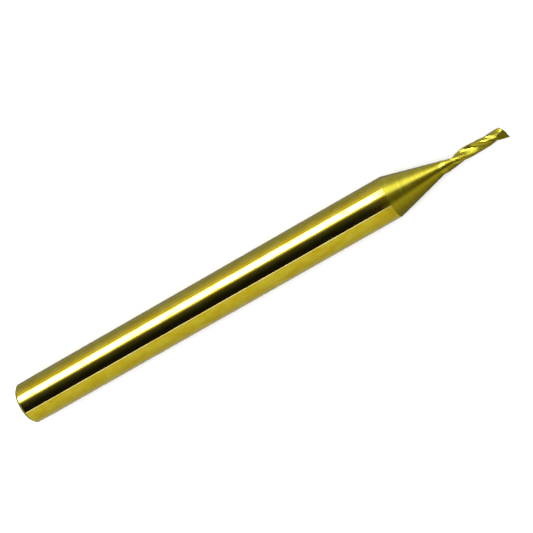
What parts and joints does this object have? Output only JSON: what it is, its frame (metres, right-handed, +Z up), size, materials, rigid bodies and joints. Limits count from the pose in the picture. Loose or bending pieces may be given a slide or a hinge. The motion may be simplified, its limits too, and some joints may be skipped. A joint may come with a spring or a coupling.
{
  "type": "micro end mill",
  "caption": "Small gold-coated end mill with a plain cylindrical shank, a conical nose and a right-hand spiral-fluted cutting head with a slanted end.",
  "frame": {"origin": "centre of the shank's flat rear face", "axes": "+X along the tool's axis towards the cutting end, +Z up with the tool lying on its side. The cutting corner is 15 degrees above -Y"},
  "size_m": [0.0406, 0.0032, 0.0032],
  "materials": {
    "shank_coating": "gold nitride coating over ground steel: polished on the cylinder, satin on the cone",
    "braze": "filler metal, coated over where it shows at the fillet",
    "cutter_coating": "gold nitride coating over ground carbide"
  },
  "bodies": {
    "root": {"shank": "shank_coating", "braze_joint": "braze", "carbide_cutter": "cutter_coating"}
  },
  "joints": []
}
